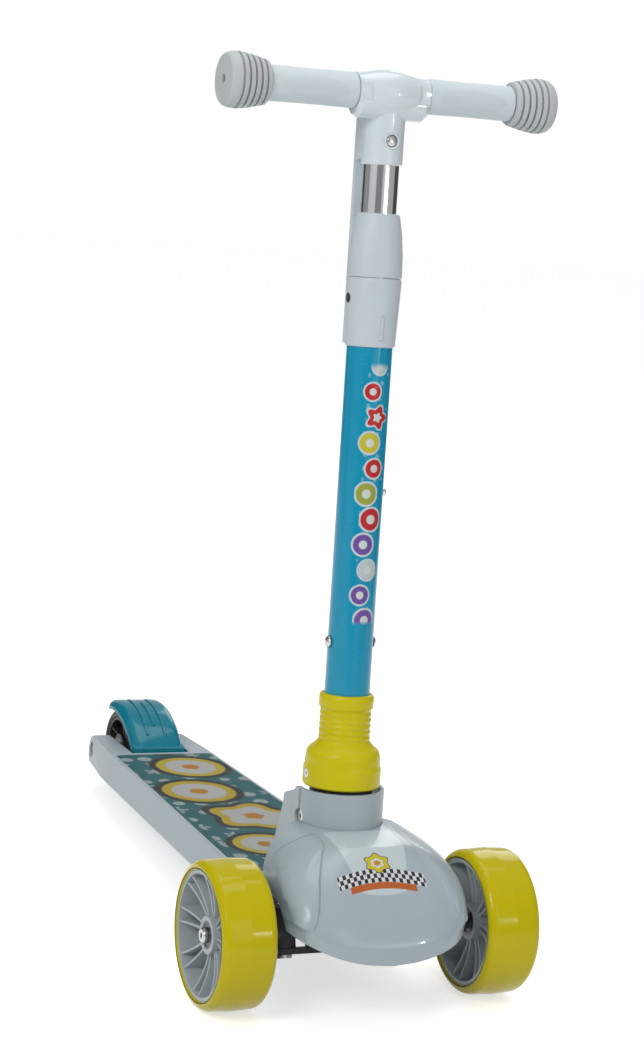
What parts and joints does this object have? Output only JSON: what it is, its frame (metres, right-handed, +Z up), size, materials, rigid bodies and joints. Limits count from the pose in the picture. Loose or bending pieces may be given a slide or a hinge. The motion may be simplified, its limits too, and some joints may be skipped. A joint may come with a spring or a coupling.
{
  "type": "kick scooter",
  "caption": "Child's three-wheeled kick scooter with folding, height-adjustable stem, lean steering and rear fender brake.",
  "frame": {"origin": "on the ground, under the middle of the length and width of the scooter with its stem up", "axes": "+Z up, +Y towards the rear wheel, -Y the way it rides, +X to the picture-right side"},
  "size_m": [0.281, 0.6652, 0.7403],
  "materials": {
    "shell_plastic": "satin",
    "mat_rubber": "matte",
    "dark_plastic": "matte",
    "black_rubber": "matte",
    "steel": "satin",
    "dark_steel": "satin",
    "yellow_plastic": "gloss",
    "blue_paint": "gloss",
    "chrome": "polished",
    "handle_plastic": "satin",
    "grip_rubber": "matte",
    "yellow_tyre": "gloss",
    "hub_plastic": "satin",
    "black_tyre": "satin",
    "black_plastic": "satin",
    "teal_plastic": "gloss"
  },
  "bodies": {
    "deck": {"deck_shell": "shell_plastic", "deck_mat": "mat_rubber", "front_cover": "shell_plastic", "neck_housing": "shell_plastic", "front_bridge": "dark_plastic", "bridge_screws": "steel", "left_kingpin": "steel", "right_kingpin": "steel", "steering_bushes": "black_rubber", "fold_bolt": "steel", "latch_pin": "steel", "rear_axle": "steel", "rear_spacers": "steel", "brake_pin": "steel", "brake_spring": "steel"},
    "stem": {"stem_root": "dark_plastic", "stem_collar": "yellow_plastic", "collar_screws": "steel", "lower_tube": "blue_paint", "tube_bolt": "steel", "tube_bush": "dark_plastic", "height_collar": "shell_plastic", "collar_cap": "shell_plastic", "height_collar_screw": "dark_steel"},
    "button": {"height_button": "steel"},
    "handle": {"inner_tube": "chrome", "tube_foot": "dark_plastic", "t_handle": "handle_plastic", "handle_screw": "steel", "left_grip": "grip_rubber", "right_grip": "grip_rubber", "left_knob": "grip_rubber", "right_knob": "grip_rubber", "left_knob_screw": "dark_steel", "right_knob_screw": "dark_steel"},
    "latch": {"fold_latch": "shell_plastic"},
    "left_steering": {"left_knuckle": "dark_plastic", "left_axle_bolt": "steel"},
    "right_steering": {"right_knuckle": "dark_plastic", "right_axle_bolt": "steel"},
    "tie_rod_slide": {"tie_rod": "dark_plastic"},
    "left_wheel": {"left_tyre": "yellow_tyre", "left_hub": "hub_plastic", "left_bearings": "dark_steel", "left_bearing_spacer": "steel"},
    "right_wheel": {"right_tyre": "yellow_tyre", "right_hub": "hub_plastic", "right_bearings": "dark_steel", "right_bearing_spacer": "steel"},
    "rear_wheel": {"rear_tyre": "black_tyre", "rear_hub": "black_plastic", "rear_bearings": "dark_steel", "rear_bearing_spacer": "steel"},
    "brake": {"brake_fender": "teal_plastic"}
  },
  "joints": [
    {"name": "fold", "type": "hinge", "parent": "deck", "child": "stem", "pos_m": [0, -0.20442, 0.13578], "axis": [-1, 0, 0], "range_deg": [0, 80]},
    {"name": "height", "type": "slide", "parent": "stem", "child": "handle", "axis": [0, 0.0872, 0.9962], "range_m": [0, 0.09]},
    {"name": "height_button", "type": "slide", "parent": "stem", "child": "button", "axis": [-1, 0, 0], "range_m": [0, 0.0045], "stiffness_N_per_m": 500},
    {"name": "latch", "type": "hinge", "parent": "deck", "child": "latch", "pos_m": [0, -0.17034, 0.08933], "axis": [1, 0, 0], "range_deg": [0, 20], "stiffness_Nm_per_rad": 0.5},
    {"name": "left_steer", "type": "hinge", "parent": "deck", "child": "left_steering", "pos_m": [0.066, -0.2614, 0.06], "axis": [0, 0.342, 0.9397], "range_deg": [-12, 12], "stiffness_Nm_per_rad": 8},
    {"name": "right_steer", "type": "hinge", "parent": "deck", "child": "right_steering", "pos_m": [-0.066, -0.2614, 0.06], "axis": [0, 0.342, 0.9397], "range_deg": [-12, 12]},
    {"name": "tie_rod", "type": "slide", "parent": "deck", "child": "tie_rod_slide", "axis": [1, 0, 0], "range_m": [-0.00624, 0.00624]},
    {"name": "left_spin", "type": "hinge", "parent": "left_steering", "child": "left_wheel", "pos_m": [0.114, -0.2614, 0.06], "axis": [1, 0, 0], "continuous": true},
    {"name": "right_spin", "type": "hinge", "parent": "right_steering", "child": "right_wheel", "pos_m": [-0.114, -0.2614, 0.06], "axis": [1, 0, 0], "continuous": true},
    {"name": "rear_spin", "type": "hinge", "parent": "deck", "child": "rear_wheel", "pos_m": [0, 0.2926, 0.04], "axis": [1, 0, 0], "continuous": true},
    {"name": "brake", "type": "hinge", "parent": "deck", "child": "brake", "pos_m": [0, 0.23036, 0.04784], "axis": [-1, 0, 0], "range_deg": [0, 3.5], "stiffness_Nm_per_rad": 4}
  ],
  "couplings": [
    {"joint": "right_steer", "follows": "left_steer", "ratio": 1},
    {"joint": "tie_rod", "follows": "left_steer", "m_per_rad": -0.029781}
  ]
}
